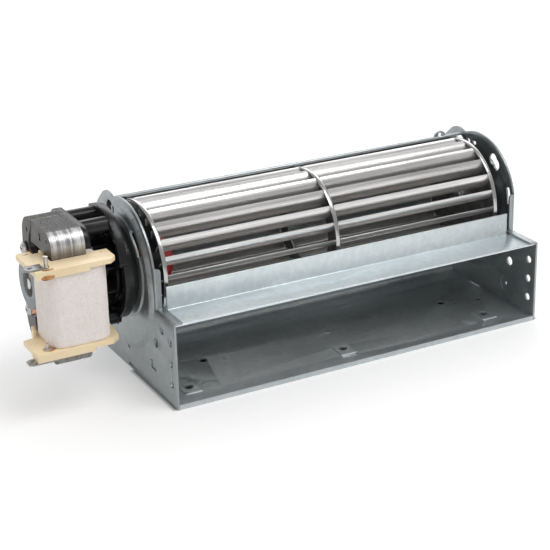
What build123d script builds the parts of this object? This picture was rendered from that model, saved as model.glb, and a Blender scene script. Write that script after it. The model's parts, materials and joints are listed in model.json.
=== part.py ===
from build123d import *
import math
import os

# Cross flow fan with a shaded pole motor at its left end. X runs along the shaft, Y points to the
# back, Z up. The origin is the middle of the bounding box's floor, so what rests is at z = 0.

# Housing sizes in millimetres
sheet = 1.0
half_width = 100.4
axis_height = 54.5
front_y = -51.7
outlet_height = 42.8
rim_radius = 32.0
flange_width = 4.5
bend_radius = 1.4
front_tab_y = -32.0
tab_width = 3.4
tab_rise = 7.5
ear_y = 18.0
ear_rise = 19.5
back_start_y = 24.5
ear_radius = 11.4
ear_hole_y = 16.5
ear_hole_rise = 23.0
ear_hole_radius = 3.9
back_margin = 0.47
back_corner = 10.0
back_centre_y = 3.5
back_centre_drop = 3.7
dish_top_radius = 30.2
dish_low_y = 3.0
dish_low_drop = 8.0
dish_low_radius = 34.0
dish_slope = 2.2
dish_depth = 1.8
seat_depth = 0.8
left_seat_radius = 24.0
right_seat_radius = 20.5
side_hole_y = -46.3
side_hole_z = 21.3
side_hole_pitch = 10.2
side_hole_radius = 1.9

# Scroll and cut-off sizes
scroll_growth = 0.221
scroll_start_angle = 62.6
floor_top = 2.4
hem_radius = 0.9
lug_inset = 14.4
pad_pitch = 83.4
pad_mid_x = -4.4
pad_y = -37.0
pad_hole_radius = 2.2
floor_hole_x = 69.0
floor_hole_y = -13.2
floor_hole_radius = 2.0
floor_tab_y = -0.5
floor_tab_width = 8.4
dome_radius = 4.2
dome_rise = 0.8
panel_height = 12.0
cut_off_end_gap = 1.0

# Impeller sizes
wheel_radius = 30.0
blade_count = 22
blade_inner = 23.0
blade_curve = 6.4
blade_sheet = 0.5
blade_end_gap = 1.2
blade_tab_low = 24.4
blade_tab_high = 27.4
wheel_gap_left = 5.4
wheel_gap_right = 10.2
mid_ring_shift = -0.8
disc_sheet = 1.0
rim_width = 2.0
shaft_radius = 2.5
running_gap = 0.04
hub_radius = 13.0
hub_length = 10.0
bush_radius = 10.0
end_bearing_radius = 5.5

# Motor sizes, heights measured from the shaft
mount_reach = 27.7
stack_length = 16.0
stack_half = 32.0
limb_front = -28.5
limb_back = -18.5
window_half = 21.0
stack_back_high = 8.6
stack_back_low = 14.2
stack_corner_high = 9.5
stack_corner_low = 14.0
bore_radius = 11.0
rotor_radius = 10.7
fit_gap = 0.3
seam_top_y = -4.5
seam_low_y = 1.0
seam_gap = 0.1
bobbin_left_reach = 11.3
bobbin_right_reach = 10.5
bobbin_front = -39.3
bobbin_back = -12.6
bobbin_half = 20.35
bobbin_flange = 2.35
tube_wall = 1.2
coil_left_reach = 4.8
coil_right_reach = 7.2
coil_front = -38.5
coil_back = -13.1
terminal_half = 3.15
terminal_sheet = 0.8
screw_y = 6.3
screw_rise = 15.2
screw_radius = 1.6
foot_radius = 3.1
foot_sheet = 0.8
head_height = 1.1
bracket_radius = 12.0
bracket_sheet = 1.2
bracket_lift = 2.4
bearing_radius = 6.1
bearing_length = 2.4
cup_depth = 2.8
fan_radius = 17.0
fan_length = 10.2
front_bearing_radius = 5.0
front_bearing_length = 7.4
screw_grip = 8.0
mount_flange = 3.5
mount_barrel_radius = 24.2
mount_neck_radius = 20.5
mount_neck = 3.4
barrel_length = 4.6
arm_y = 6.3
arm_rise = 4.4
arm_radius = 30.4
arm_top_radius = 31.0
arm_band = 2.8
arm_length = 4.0

scroll_lean = math.atan(scroll_growth)
scroll_back = (axis_height - floor_top) * math.exp(scroll_growth * (2 * scroll_lean - math.pi / 2))
back_y = scroll_back + sheet + back_margin
inner_x = half_width - sheet
dish_face = half_width + dish_depth
seat_face = dish_face + seat_depth
disc_left_x = -inner_x + wheel_gap_left
disc_right_x = inner_x - wheel_gap_right
disc_mid_x = (disc_left_x + disc_right_x + disc_sheet) / 2 + mid_ring_shift
stack_right = -seat_face - mount_reach
stack_left = stack_right - stack_length
bobbin_left = stack_left - bobbin_left_reach
bobbin_right = stack_right + bobbin_right_reach
coil_left = stack_left - coil_left_reach
coil_right = stack_right + coil_right_reach
bracket_face = stack_left - bracket_lift
cup_floor = stack_left + cup_depth - 0.8
front_bearing_left = stack_right + 0.6
barrel_right = -seat_face - mount_neck
barrel_left = barrel_right - barrel_length
arm_right = barrel_left + 2.0
arm_left = arm_right - arm_length


def along_x(shape, start, end):
    """A flat shape drawn in Y and Z, made solid between two X positions."""
    return extrude(Plane.YZ.offset(start) * shape, amount=end - start)


def upright(shape, start, end):
    """A flat shape drawn in X and Y, made solid between two heights."""
    return extrude(Plane.XY.offset(start) * shape, amount=end - start)


def block(low, high):
    size = [b - a for a, b in zip(low, high)]
    return Pos(*low) * Box(*size, align=(Align.MIN, Align.MIN, Align.MIN))


def disc(y, z, radius):
    return Pos(y, z) * Circle(radius)


def field(low, high):
    size = [b - a for a, b in zip(low, high)]
    return Pos(*low) * Rectangle(*size, align=(Align.MIN, Align.MIN))


def polar(radius, angle):
    """Y and Z of a point at an angle that starts at the front and rises over the top."""
    turn = math.radians(angle)
    return (-radius * math.cos(turn), axis_height + radius * math.sin(turn))


def arc_slot(radius, width, start, end):
    """A curved slot about the shaft, with round ends."""
    span = disc(0, axis_height, radius + width / 2) - disc(0, axis_height, radius - width / 2)
    steps = 6
    angles = [start + (end - start) * i / steps for i in range(steps + 1)]
    fan = [polar(radius + 30, a) for a in angles]
    slot = span & make_face(Polyline([(0, axis_height)] + fan + [(0, axis_height)]))
    slot += disc(*polar(radius, start), width / 2)
    slot += disc(*polar(radius, end), width / 2)
    return slot


def plate_outline():
    """The end plate's flat outline: outlet, round front, ear and back."""
    shape = field((front_y, 0), (0, outlet_height))
    shape += disc(0, axis_height, rim_radius)
    shape += field((front_tab_y, outlet_height - 1), (0, axis_height + 8.0))
    shape += disc(ear_y, axis_height + ear_rise, ear_radius)
    low_back = axis_height - back_centre_drop
    back = disc(back_centre_y, low_back, back_y - back_centre_y)
    shape += back & field((back_start_y, low_back), (back_y + 1, axis_height + 60))
    shape += back & field((ear_y, low_back), (back_y + 1, axis_height + ear_rise))
    shape += field((-1, 0), (back_y - back_corner, low_back + 1))
    shape += field((back_y - back_corner - 1, back_corner), (back_y, low_back))
    shape += disc(back_y - back_corner, back_corner, back_corner)
    return shape


def dish_outline(grow):
    """The pressed dish seen from the side: round the shaft at the top, wider below."""
    high = disc(0, axis_height, dish_top_radius + grow)
    low = disc(dish_low_y, axis_height - dish_low_drop, dish_low_radius + grow)
    return make_face(make_hull(high.edges() + low.edges()))


def tapered(first, last, start, end):
    """A solid that runs from one outline to another between two X positions."""
    return loft([Plane.YZ.offset(start) * first, Plane.YZ.offset(end) * last])


def plate_blank(seat_radius):
    """A plate for the right end, outer face at half_width, pressed outward."""
    flat = along_x(plate_outline(), inner_x, half_width)
    top = outlet_height - sheet
    flat += block((half_width - flange_width, front_y, top), (half_width, front_tab_y + sheet, outlet_height))
    tab = block((half_width - tab_width, front_tab_y, top),
                (half_width, front_tab_y + sheet, axis_height + tab_rise))
    free = tab.edges().filter_by(Axis.Y).group_by(Axis.Z)[-1].sort_by(Axis.X)[0]
    flat += fillet(free, 1.6)
    bends = [e for e in flat.edges() if abs(e.center().X - half_width) < 0.01 and e.length > 9
             and (abs(e.center().Z - outlet_height) < 0.01 or abs(e.center().Y - front_tab_y) < 0.01)]
    flat = fillet(bends, bend_radius)
    wall = 0.6 * sheet
    ear = disc(ear_hole_y + 0.5, axis_height + ear_hole_rise + 0.5, ear_hole_radius + 3.3)
    dish = tapered(dish_outline(0), dish_outline(-dish_slope), half_width, dish_face)
    flat += dish - along_x(ear, half_width - 1, seat_face)
    hollow = tapered(dish_outline(-wall), dish_outline(-dish_slope - wall), inner_x, dish_face - sheet)
    flat -= hollow - along_x(ear, inner_x - 1, seat_face)
    flat += tapered(disc(0, axis_height, seat_radius + seat_depth), disc(0, axis_height, seat_radius),
                    dish_face - 0.01, seat_face)
    flat -= along_x(disc(0, axis_height, seat_radius - wall), dish_face - 2 * sheet, seat_face - sheet)
    slot_half = floor_tab_width / 2 + 0.2
    flat -= block((inner_x - 1, floor_tab_y - slot_half, floor_top - sheet - 0.2),
                  (half_width + 1, floor_tab_y + slot_half, floor_top + 0.2))
    for step in (-1, 0, 1):
        flat -= along_x(disc(side_hole_y, side_hole_z + step * side_hole_pitch, side_hole_radius),
                        inner_x - 1, half_width + 1)
    flat -= along_x(disc(ear_hole_y, axis_height + ear_hole_rise, ear_hole_radius), inner_x - 1, half_width + 3)
    flat -= along_x(disc(-30.4, 25.4, 2.3), inner_x - 1, half_width + 1)
    return flat


def end_plate_left():
    plate = mirror(plate_blank(left_seat_radius), about=Plane.YZ)
    far = -seat_face - 1
    near = -inner_x + 1
    plate -= along_x(disc(0, axis_height, 12.0), far, near)
    plate -= along_x(arc_slot(24.6, 3.0, 29, 55), far, near)
    plate -= along_x(disc(-37.7, 34.2, 1.8), far, near)
    plate -= along_x(disc(*polar(27.6, 11), 0.7), far, near)
    plate -= along_x(disc(*polar(27.6, -2), 0.6), far, near)
    plate -= along_x(disc(*polar(27.6, -6), 0.7), far, near)
    plate -= along_x(Pos(11.2, axis_height - 33.5) * Rot(0, 0, 45) * Rectangle(2.6, 2.6), far, near)
    plate -= along_x(disc(2.9, 11.0, 0.9), far, near)
    plate -= along_x(Pos(7.6, axis_height + 25.0) * Rectangle(1.8, 3.2), far, near)
    lance = along_x(Pos(-25.9, 10.5) * Rectangle(5.0, 1.2), -half_width - 0.5, -half_width + 0.2)
    lance += along_x(Pos(-24.1, 12.4) * Rectangle(1.2, 4.4), -half_width - 0.5, -half_width + 0.2)
    return plate + lance


def end_plate_right():
    plate = plate_blank(right_seat_radius)
    near = inner_x - 1
    far = seat_face + 1
    plate -= along_x(disc(0, axis_height, bush_radius), near, far)
    plate -= along_x(arc_slot(25.6, 3.0, 3, 17), near, far)
    vent = disc(-11.0, axis_height + 20.2, 3.1) + disc(-13.2, axis_height + 18.0, 3.1)
    plate -= along_x(vent, near, far)
    plate -= along_x(Pos(14.0, axis_height + 10.0) * Rectangle(3.6, 2.2), near, far)
    plate -= along_x(Pos(6.0, axis_height + 24.8) * Rectangle(3.0, 1.8), near, far)
    boss = (-14.0, axis_height - 30.0)
    plate += tapered(disc(*boss, 7.6), disc(*boss, 6.8), half_width - 0.01, half_width + 0.8)
    plate += tapered(disc(*boss, 3.6), disc(*boss, 3.0), half_width + 0.79, half_width + 3.0)
    plate -= along_x(disc(*boss, 6.6), near, half_width - 0.2)
    plate -= along_x(disc(*boss, 2.2), near, half_width + 2.2)
    mark = (-27.4, 11.9)
    plate += tapered(disc(*mark, 4.4), disc(*mark, 4.0), half_width - 0.01, half_width + 0.5)
    plate -= along_x(disc(*mark, 3.9), near, half_width - 0.5)
    plate -= along_x(disc(*mark, 0.9), near, far)
    return plate


def scroll_point(turn, out):
    """A point of the spiral, moved out along its normal, for a turn in degrees from the hem."""
    lean = scroll_lean
    last = math.radians(scroll_start_angle + 90) - lean
    lowest = (axis_height - floor_top) / math.cos(lean)
    radius = lowest * math.exp(scroll_growth * (math.radians(turn) - last))
    direction = math.radians(scroll_start_angle - turn)
    y = radius * math.cos(direction) + out * math.cos(direction + lean)
    z = radius * math.sin(direction) + out * math.sin(direction + lean)
    return (y, axis_height + z)


def scroll_outline():
    """The side view of the back sheet: spiral, flat floor and front lip."""
    lean = math.degrees(scroll_lean)
    last = scroll_start_angle + 90 - lean
    turns = [last * i / 12 for i in range(13)]
    start = math.radians(scroll_start_angle - 90 + lean)
    ends = [(math.cos(start), math.sin(start)), (-1, 0)]
    inside = [scroll_point(t, 0) for t in turns]
    outside = [scroll_point(t, sheet) for t in turns]
    lip = front_y + sheet
    low = floor_top - sheet
    lines = [Spline(*inside, tangents=ends), Line(inside[-1], (front_y, floor_top)),
             Line((front_y, floor_top), (front_y, 0)), Line((front_y, 0), (lip, 0)), Line((lip, 0), (lip, low)),
             Line((lip, low), outside[-1]), Spline(*outside, tangents=ends), Line(inside[0], outside[0])]
    return make_face(lines)


def scroll_sheet():
    """Back and floor of the housing, with its hem, pads, dimples, tabs and holes."""
    body = along_x(scroll_outline(), -inner_x, inner_x)
    hem_y, hem_z = scroll_point(0, sheet * 0.6)
    body += along_x(disc(hem_y, hem_z, hem_radius), -inner_x, inner_x)
    tab_low = floor_tab_y - floor_tab_width / 2
    for side in (-1, 1):
        body += block((side * inner_x - 0.4, tab_low, floor_top - sheet),
                      (side * inner_x + 0.4, tab_low + floor_tab_width, floor_top))
    lug_x = inner_x - lug_inset
    lug = Pos(lug_x, hem_y, hem_z) * Cylinder(3.6, sheet, rotation=(90, 0, 0))
    body += lug & along_x(disc(hem_y, hem_z + 5.0, 5.0), lug_x - 9, lug_x + 9)
    body -= Pos(lug_x, hem_y, hem_z + 1.6) * Cylinder(1.1, 3 * sheet, rotation=(90, 0, 0))
    for step in (-1, 0, 1):
        x = pad_mid_x + step * pad_pitch
        pad = Pos(x, pad_y - 1.0, floor_top) * RectangleRounded(9.5, 11.5, 1.5)
        body += Pos(0, 0, -0.1) * extrude(pad, amount=0.6, taper=25)
        body -= Pos(x, pad_y, floor_top) * Cylinder(pad_hole_radius, 8)
    for x in (-floor_hole_x, floor_hole_x):
        body -= Pos(x, floor_hole_y, floor_top) * Cylinder(floor_hole_radius, 6)
    body -= Pos(inner_x - 10.6, -18.9, floor_top) * Cylinder(1.5, 6)
    ball = (dome_radius ** 2 + dome_rise ** 2) / (2 * dome_rise)
    for x, y in ((-76.8, -38.4), (68.0, -41.0)):
        dome = Pos(x, y, floor_top + dome_rise - ball) * Sphere(ball)
        body += dome & block((x - 6, y - 6, floor_top - 0.2), (x + 6, y + 6, floor_top + 2))
    body += Pos(-1.2, -15.4, floor_top) * Cylinder(1.6, 0.8)
    body -= Pos(-1.2, -44.6, floor_top) * Cylinder(0.8, 6)
    return body


def cut_off_sheet():
    """The angle that forms the tongue: an upright panel and a flat flange to the outlet."""
    x = half_width - flange_width - cut_off_end_gap
    top = outlet_height - sheet
    low = top - sheet
    joint = front_tab_y - sheet - 0.4
    flange = block((-inner_x, front_y + 0.6, low), (inner_x, joint, top))
    bend = block((-x, joint - 0.6, low), (x, front_tab_y, top))
    panel = block((-x, front_tab_y - sheet, low), (x, front_tab_y, low + panel_height))
    part = flange + bend + panel
    corner = part.edges().filter_by(Axis.X).sort_by_distance((0, front_tab_y, low))[0]
    return fillet(corner, 0.9)


def blade_profile():
    """One curved blade seen from the end, at the front of the wheel and leaning with the spin."""
    sweep = []
    for out in (0, blade_sheet):
        radius = blade_curve + out
        points = []
        for step in range(5):
            a = math.radians(74 * step / 4)
            points.append((blade_inner + radius * math.sin(a), radius * math.cos(a) - blade_curve))
        sweep.append(points)
    inner, outer = sweep
    arc_a = ThreePointArc(inner[0], inner[2], inner[4])
    arc_b = ThreePointArc(outer[0], outer[2], outer[4])
    return make_face([arc_a, Line(inner[4], outer[4]), arc_b, Line(outer[0], inner[0])])


def ring_band(low, high):
    return Circle(high) - Circle(low)


def blade_solid():
    """A blade along the whole wheel, notched at the discs and tabbed through them."""
    profile = blade_profile()
    tab = profile & ring_band(blade_tab_low, blade_tab_high)
    half_ring = rim_width / 2 + blade_end_gap / 2
    spans = [(disc_left_x + disc_sheet + blade_end_gap, disc_mid_x - half_ring),
             (disc_mid_x + half_ring, disc_right_x - blade_end_gap)]
    length = disc_right_x + disc_sheet - disc_left_x
    solid = extrude(Plane.YZ.offset(disc_left_x - 0.9) * tab, amount=length + 1.8)
    for start, end in spans:
        solid += extrude(Plane.YZ.offset(start) * profile, amount=end - start)
    return solid


def blade_turns():
    return [Pos(0, 0, axis_height) * Rot(360.0 * i / blade_count + 4.0, 0, 0) for i in range(blade_count)]


def blades():
    one = blade_solid()
    return Compound(children=[turn * one for turn in blade_turns()])


def tab_slots(start, end):
    """The slots that the blades' tabs pass through, a hair wider than the tabs."""
    profile = offset(blade_profile(), amount=0.08, kind=Kind.INTERSECTION)
    profile &= ring_band(blade_tab_low - 0.1, blade_tab_high + 0.1)
    one = extrude(Plane.YZ.offset(start) * profile, amount=end - start)
    return [turn * one for turn in blade_turns()]


def wheel_disc(start, hole, rim_start):
    """A pressed disc with a turned rim, slotted for the blades."""
    body = along_x(disc(0, axis_height, wheel_radius - 0.2), start, start + disc_sheet)
    rim = disc(0, axis_height, wheel_radius) - disc(0, axis_height, wheel_radius - 0.9)
    body += along_x(rim, rim_start, rim_start + rim_width)
    body -= along_x(disc(0, axis_height, hole), start - 1, start + disc_sheet + 1)
    for slot in tab_slots(start - 0.5, start + disc_sheet + 0.5):
        body -= slot
    return body


def end_disc_left():
    return wheel_disc(disc_left_x, 7.0, disc_left_x - 0.5)


def end_disc_right():
    return wheel_disc(disc_right_x, 4.0, disc_right_x - 0.5)


def mid_ring():
    return wheel_disc(disc_mid_x - disc_sheet / 2, 21.0, disc_mid_x - rim_width / 2)


def impeller_hub():
    """The soft hub that takes the motor shaft inside the wheel's left end."""
    start = disc_left_x + disc_sheet
    body = along_x(disc(0, axis_height, hub_radius), start, start + hub_length)
    body += along_x(disc(0, axis_height, hub_radius - 4.0), start + hub_length, start + hub_length + 3.0)
    body += along_x(disc(0, axis_height, 7.0), disc_left_x - 1.5, start)
    body -= along_x(disc(0, axis_height, shaft_radius), disc_left_x - 2, start + hub_length + 1.0)
    return body


def stub_shaft():
    """The short shaft riveted to the right disc."""
    last = disc_right_x + disc_sheet
    body = along_x(disc(0, axis_height, shaft_radius), disc_right_x - 2.5, seat_face + 1.2)
    body += along_x(disc(0, axis_height, 4.0), disc_right_x - 1.5, last)
    body += along_x(disc(0, axis_height, 6.5), last, last + 1.5)
    return body


def end_bush():
    """The rubber bush that holds the right bearing in the plate."""
    lip = 1.4
    body = along_x(disc(0, axis_height, bush_radius), seat_face - sheet - lip, seat_face + lip)
    for start in (seat_face - sheet - lip, seat_face):
        body += along_x(disc(0, axis_height, bush_radius + 2.5), start, start + lip)
    body -= along_x(disc(0, axis_height, end_bearing_radius), seat_face - 4, seat_face + 3)
    return body


def bearing(start, end, radius):
    ring = disc(0, axis_height, radius) - disc(0, axis_height, shaft_radius + running_gap)
    return along_x(ring, start, end)


def motor_shaft():
    start = disc_left_x + disc_sheet
    return along_x(disc(0, axis_height, shaft_radius), bracket_face + 0.4, start + hub_length + 1.0)


def rotor_core():
    ring = disc(0, axis_height, rotor_radius) - disc(0, axis_height, shaft_radius)
    return along_x(ring, stack_left + cup_depth + 0.6, stack_right - 0.4)


def cooling_fan():
    """The small wheel that cools the motor, inside the mount's barrel."""
    end = barrel_left + 0.6
    start = end - fan_length
    body = along_x(disc(0, axis_height, 6.0), start, end)
    body += along_x(disc(0, axis_height, fan_radius), end - 1.6, end)
    vane = block((start + 0.6, 5.0, -0.6), (end - 1.0, fan_radius, 0.6))
    for i in range(9):
        body += Pos(0, 0, axis_height) * Rot(40.0 * i, 0, 0) * vane
    return body - along_x(disc(0, axis_height, shaft_radius), start - 1, end + 1)


def from_shaft(points):
    """Points given by Y and their height above the shaft."""
    return [(y, axis_height + z) for y, z in points]


def stator_front():
    """The laminated C of the motor, whose front limb carries the coil."""
    upper = [(limb_front, stack_half), (seam_top_y, stack_half), (seam_low_y, window_half), (limb_back, window_half)]
    lower = [(y, -z) for y, z in reversed(upper)]
    body = along_x(make_face(Polyline(from_shaft(upper + lower), close=True)), stack_left, stack_right)
    corners = body.edges().filter_by(Axis.X).group_by(Axis.Y)[0]
    body = fillet(corners, 7.0)
    for y, z, width, height in ((-14.2, 27.0, 2.2, 3.8), (-22.6, 27.2, 1.2, 2.0)):
        low = (stack_left - 1, y - width / 2, axis_height + z - height / 2)
        high = (stack_left + 0.8, y + width / 2, axis_height + z + height / 2)
        body -= block(low, high)
    return body


def stator_rear():
    """The laminated back half of the motor, with the rotor's bore and the shading slots."""
    pole_half = window_half - 4.0
    side = [(seam_top_y + seam_gap, stack_half), (seam_low_y + seam_gap, window_half),
            (seam_low_y + seam_gap, pole_half), (bobbin_back + 0.3, pole_half - 4.0)]
    upper = [(stack_back_high, stack_half)] + side
    lower = [(y, -z) for y, z in reversed(side)] + [(stack_back_low, -stack_half)]
    body = along_x(make_face(Polyline(from_shaft(upper + lower), close=True)), stack_left, stack_right)
    body = fillet(body.edges().filter_by(Axis.X).group_by(Axis.Y)[-1], stack_corner_low)
    high = body.edges().filter_by(Axis.X).group_by(Axis.Z)[-1].sort_by(Axis.Y)[-1]
    body = fillet(high, stack_corner_high)
    body -= along_x(disc(0, axis_height, bore_radius), stack_left - 1, stack_right + 1)
    for y, z in shading_legs():
        body -= block((stack_left - 1, y - 1.0, z - 1.0), (stack_right + 1, y + 1.0, z + 1.0))
    for side in (-1, 1):
        hole = disc(screw_y, axis_height + side * screw_rise, screw_radius + 0.2)
        body -= along_x(hole, stack_left - 1, stack_right + 1)
    body -= block((stack_left - 1, 2.0, axis_height + 24.2), (stack_left + 0.8, 3.6, axis_height + 26.4))
    return body


def shading_legs():
    return [(y, axis_height + side * z) for side in (-1, 1) for y, z in ((1.6, 14.6), (-9.6, 9.8))]


def shading_rings():
    """Two copper loops through the pole tips."""
    loops = []
    for side in (-1, 1):
        legs = [leg for leg in shading_legs() if (leg[1] - axis_height) * side > 0]
        loop = None
        for y, z in legs:
            bar = block((stack_left - 1.0, y - 1.0, z - 1.0), (stack_right + 1.9, y + 1.0, z + 1.0))
            loop = bar if loop is None else loop + bar
        (ya, za), (yb, zb) = legs
        run = math.hypot(yb - ya, zb - za)
        turn = math.degrees(math.atan2(zb - za, yb - ya))
        link = Pos((ya + yb) / 2, (za + zb) / 2) * Rot(0, 0, turn) * Rectangle(run, 2.0)
        loop += along_x(link, stack_left - 1.0, stack_left)
        loop += along_x(link, stack_right, stack_right + 1.9)
        loops.append(loop)
    return Compound(children=loops)


def upper_flange():
    """The top flange of the former, seen from above."""
    reach = stack_right + 1.5
    corner = stack_left - 4.2
    points = [(bobbin_left, bobbin_back + 0.3), (bobbin_left, bobbin_front), (bobbin_right - 3.0, bobbin_front),
              (bobbin_right, bobbin_front + 2.9), (bobbin_right, -26.6), (reach, -26.6), (reach, bobbin_back),
              (stack_left - 0.3, bobbin_back), (stack_left - 0.3, -16.0), (corner, -16.0),
              (corner, bobbin_back + 0.3)]
    face = make_face(Polyline(points, close=True))
    return fillet(face.vertices().sort_by_distance((bobbin_left, bobbin_back, 0))[0], 1.6)


def lower_flange():
    """The bottom flange of the former, which reaches further out to the left."""
    reach = stack_right + 1.5
    left = bobbin_left - 2.0
    points = [(left, -20.4), (left, bobbin_front), (bobbin_right - 4.2, bobbin_front), (bobbin_right, -35.6),
              (bobbin_right + 1.4, -21.0), (reach, -21.0), (reach, bobbin_back), (stack_left - 6.8, bobbin_back),
              (stack_left - 8.2, -19.4)]
    face = make_face(Polyline(points, close=True))
    return fillet(face.vertices().sort_by_distance((bobbin_right, -35.6, 0))[0], 3.0)


def bobbin():
    """The moulded coil former: two flanges and the tube round the limb."""
    top = axis_height + bobbin_half
    low = axis_height - bobbin_half
    body = upright(upper_flange(), top - bobbin_flange, top)
    body += upright(lower_flange(), low, low + bobbin_flange)
    ends = (stack_left - fit_gap, limb_front - fit_gap, stack_right + fit_gap, limb_back + fit_gap)
    wall = tube_wall
    tube = field((ends[0] - wall, ends[1] - wall), (ends[2] + wall, ends[3] + wall))
    body += upright(tube, low + 1, top - 1)
    body -= upright(field(ends[:2], ends[2:]), low - 1, top + 1)
    inner_top = top - bobbin_flange
    body += block((bobbin_left, bobbin_front, inner_top - 1.4), (stack_right - 2.3, bobbin_front + 0.7, inner_top))
    body += block((bobbin_left - 2.0, bobbin_front, low - 1.4), (stack_right - 2.3, -31.0, low))
    inner_low = low + bobbin_flange
    collar = make_face(Polyline([(stack_left - 8.0, -19.2), (stack_left - 6.6, bobbin_back),
                                 (stack_left - 5.2, bobbin_back), (stack_left - 6.6, -19.2)], close=True))
    return body + upright(collar, inner_low - 0.1, inner_low + 2.7)


def coil():
    """The taped winding on the bobbin."""
    half = bobbin_half - bobbin_flange
    middle = Pos((coil_left + coil_right) / 2, (coil_front + coil_back) / 2)
    outer = middle * RectangleRounded(coil_right - coil_left, coil_back - coil_front, 6.5)
    wall = fit_gap + tube_wall
    inner = field((stack_left - wall, limb_front - wall), (stack_right + wall, limb_back + wall))
    return upright(outer - inner, axis_height - half, axis_height + half)


def blade_terminal(tip, root, y, low):
    """A flat push-on terminal with a latch hole and bevelled tip."""
    half = terminal_half
    points = [(root, y - half), (tip + 1.6, y - half), (tip, y - 2.0), (tip, y + 2.0), (tip + 1.6, y + half),
              (root, y + half)]
    body = upright(make_face(Polyline(points, close=True)), low, low + terminal_sheet)
    return body - Pos(tip + 3.3, y, low) * Cylinder(0.9, 4)


def terminal_upper():
    return blade_terminal(bobbin_left - 3.8, bobbin_left + 4.7, -34.0, axis_height + bobbin_half)


def terminal_lower():
    low = axis_height - bobbin_half - 1.4 - terminal_sheet
    return blade_terminal(bobbin_left - 5.9, bobbin_left + 7.4, -36.0, low)


def post_on_ring(x, y, base, radius, ring, height):
    """A wire post with a low ring at its foot."""
    return Pos(x, y, base + height / 2) * Cylinder(radius, height) + Pos(x, y, base + 0.4) * Cylinder(ring, 0.8)


def winding_pins():
    """The wire posts beside the terminals."""
    top = axis_height + bobbin_half
    low = axis_height - bobbin_half + bobbin_flange
    upper = post_on_ring(bobbin_left + 6.2, -35.5, top, 0.95, 1.4, 5.6)
    upper += Pos(bobbin_left + 6.2, -35.5, top + 5.3) * Cylinder(1.2, 0.6)
    lower = post_on_ring(bobbin_left + 4.0, -35.0, low, 0.5, 1.9, 3.4)
    return Compound(children=[upper, lower])


def bearing_bracket():
    """The bridge over the motor's outer face: a raised hub, two low feet and the bearing's cup."""
    hub = disc(0, axis_height, bracket_radius)
    body = along_x(hub, bracket_face, bracket_face + bracket_sheet)
    for side in (-1, 1):
        foot = disc(screw_y, axis_height + side * screw_rise, foot_radius)
        root = disc(0.58 * screw_y, axis_height + 0.58 * side * screw_rise, foot_radius / 2)
        leg = make_face(make_hull(foot.edges() + root.edges()))
        body += along_x(leg, stack_left - foot_sheet, stack_left)
        body += along_x(leg & hub, bracket_face, stack_left)
    body += along_x(disc(0, axis_height, bearing_radius + 1.3), bracket_face, stack_left + cup_depth)
    body -= along_x(disc(0, axis_height, bearing_radius), bracket_face - 1, cup_floor)
    body -= along_x(disc(0, axis_height, shaft_radius + 0.9), bracket_face - 1, stack_left + cup_depth + 1)
    for side in (-1, 1):
        hole = disc(screw_y, axis_height + side * screw_rise, screw_radius + 0.2)
        body -= along_x(hole, bracket_face - 1, stack_left + 1)
    return body


def motor_screws():
    """Two screws through bracket and stack into the mount's bosses."""
    screws = []
    for side in (-1, 1):
        z = axis_height + side * screw_rise
        seat = stack_left - foot_sheet
        screw = along_x(disc(screw_y, z, screw_radius), seat, stack_right + screw_grip)
        screw += tapered(disc(screw_y, z, 2.0), disc(screw_y, z, 2.8), seat - head_height, seat)
        screw -= block((seat - 2.8, screw_y - 1.6, z - 0.4), (seat - 0.5, screw_y + 1.6, z + 0.4))
        screws.append(screw)
    return Compound(children=screws)


def arm_outline(inset):
    """The outer line of the mount's arm: round the shaft at the top, closer to it at the front."""
    return disc(0, axis_height, arm_top_radius - inset) & disc(arm_y, axis_height + arm_rise, arm_radius - inset)


def motor_mount():
    """The black moulded basket that joins the motor to the left plate."""
    face = stack_right
    flange_end = face + mount_flange
    plan = Pos(-5.5, axis_height) * RectangleRounded(41.0, 2 * stack_half - 3.0, 7.5)
    plan -= disc(0, axis_height, fan_radius)
    side_cut = window_half + 0.5
    plan -= field((limb_front - 2, axis_height - side_cut), (bobbin_back + 0.4, axis_height + side_cut))
    body = along_x(plan, face, flange_end)
    body += block((face, -3.0, axis_height - fan_radius - 1), (flange_end, 3.0, axis_height + fan_radius + 1))
    body += along_x(disc(0, axis_height, 7.5), face, face + 8.5)
    outer = disc(0, axis_height, mount_barrel_radius)
    body += along_x(outer - disc(0, axis_height, mount_neck_radius), barrel_left, barrel_right)
    body += along_x(outer - disc(0, axis_height, 9.0), barrel_right - 1.6, barrel_right)
    neck = disc(0, axis_height, mount_neck_radius) - disc(0, axis_height, 9.0)
    body += along_x(neck, barrel_right - 0.01, -seat_face)
    arm = arm_outline(0) - arm_outline(arm_band)
    arm &= field((-40, axis_height + 9.5), (11.0, axis_height + 50))
    arm += disc(-22.2, axis_height + 9.5, arm_band / 2 + 0.2)
    body += along_x(arm, arm_left, arm_right)
    for y, z, radius in ((-9.5, 25.0, 4.0), (5.0, 26.0, 3.6), (5.0, -21.3, 3.4), (-8.5, -21.3, 3.4)):
        body += along_x(disc(y, axis_height + z, radius), face + 1, arm_right)
    for side in (-1, 1):
        boss = disc(screw_y, axis_height + side * screw_rise, 4.0)
        body += along_x(boss, face, face + screw_grip + 1.5)
        hole = disc(screw_y, axis_height + side * screw_rise, screw_radius)
        body -= along_x(hole, face - 1, face + screw_grip)
    for side in (-1, 1):
        legs = [disc(y, z, 1.8) for y, z in shading_legs() if (z - axis_height) * side > 0]
        pocket = make_face(make_hull(legs[0].edges() + legs[1].edges()))
        body -= along_x(pocket, face - 1, face + 2.2)
    body -= along_x(disc(0, axis_height, front_bearing_radius), face - 1, face + 10)
    return body


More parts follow.
